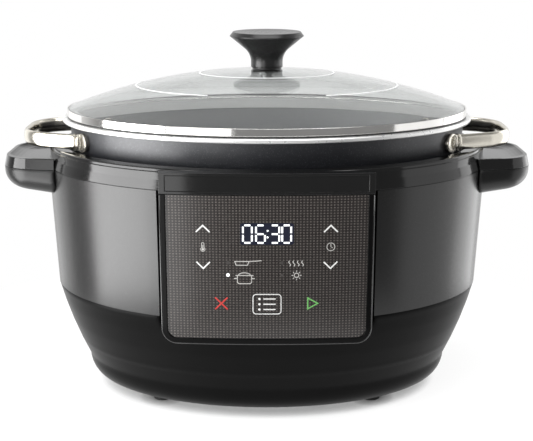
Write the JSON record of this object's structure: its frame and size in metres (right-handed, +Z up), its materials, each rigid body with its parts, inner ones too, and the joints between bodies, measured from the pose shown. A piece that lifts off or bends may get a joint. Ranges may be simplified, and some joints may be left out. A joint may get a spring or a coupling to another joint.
{
  "type": "slow cooker",
  "caption": "Oval countertop slow cooker: tapered housing with touch panel and side handles, lift-out pot with steel loop handles, domed glass lid with knob.",
  "frame": {"origin": "on the resting plane under the middle of the whole object's box", "axes": "+Z up; +X to the right as seen from the front; -Y out of the front, where the control panel is"},
  "size_m": [0.437, 0.2696, 0.302],
  "materials": {
    "gloss_black_plastic": "glossy moulded black",
    "matte_black_plastic": "fine matte moulded black",
    "knob_plastic": "satin heat-proof black",
    "inner_plastic": "plain moulded grey",
    "bezel_plastic": "glossy dark frame",
    "fascia": "dotted dark touch window",
    "wall_paint": "satin dark grey metallic",
    "coated_pot": "dark speckled non-stick coat with a bright rim",
    "bright_steel": "polished steel",
    "steel": "plain steel",
    "well_aluminium": "plain drawn or cast aluminium",
    "lid_glass": "clear tempered glass",
    "silicone": "grey silicone",
    "rubber": "black rubber",
    "circuit_board": "green solder mask",
    "display": "dark digit display",
    "lamp": "clear lamp lens",
    "brass": "plain brass"
  },
  "bodies": {
    "base": {"base_shell": "matte_black_plastic", "bottom_cover": "matte_black_plastic", "cover_screws": "steel", "cord_gland": "rubber", "outer_wall": "wall_paint", "top_collar": "gloss_black_plastic", "handle_grip_right": "matte_black_plastic", "handle_grip_left": "matte_black_plastic", "handle_screws": "steel", "header_strip": "gloss_black_plastic", "panel_bezel": "bezel_plastic", "touch_fascia": "fascia", "panel_carrier": "inner_plastic", "control_board": "circuit_board", "control_board_screws": "steel", "display_module": "display", "indicator_lamps": "lamp", "well_liner": "well_aluminium", "heating_plate": "well_aluminium", "heating_element": "steel", "plate_posts": "steel", "post_screws": "steel", "heat_shield": "well_aluminium", "sensor_guide": "brass", "sensor_spring": "steel", "thermal_fuse": "inner_plastic", "fuse_clip": "steel", "power_board": "circuit_board", "power_board_screws": "steel", "transformer": "inner_plastic", "relay": "matte_black_plastic", "terminal_block": "inner_plastic", "capacitor": "well_aluminium", "foot_front_left": "rubber", "foot_front_right": "rubber", "foot_rear_left": "rubber", "foot_rear_right": "rubber"},
    "sensor": {"sensor_cap": "well_aluminium"},
    "pot": {"cooking_pot": "coated_pot", "pot_handle_right": "bright_steel", "pot_handle_left": "bright_steel", "pot_rivets_right": "bright_steel", "pot_rivets_left": "bright_steel"},
    "lid": {"lid_band": "bright_steel", "lid_seal": "silicone", "lid_glass": "lid_glass", "lid_knob": "knob_plastic", "knob_seat": "silicone", "knob_washer": "steel", "knob_screw": "steel"}
  },
  "joints": [
    {"name": "pot_lift", "type": "slide", "parent": "base", "child": "pot", "axis": [0, 0, 1], "range_m": [0, 0.17]},
    {"name": "lid_lift", "type": "slide", "parent": "pot", "child": "lid", "axis": [0, 0, 1], "range_m": [0, 0.12]},
    {"name": "sensor_press", "type": "slide", "parent": "base", "child": "sensor", "axis": [0, 0, 1], "range_m": [-0.003, 0], "stiffness_N_per_m": 300, "springref_m": 0.004, "deforming": ["sensor_spring"]}
  ]
}
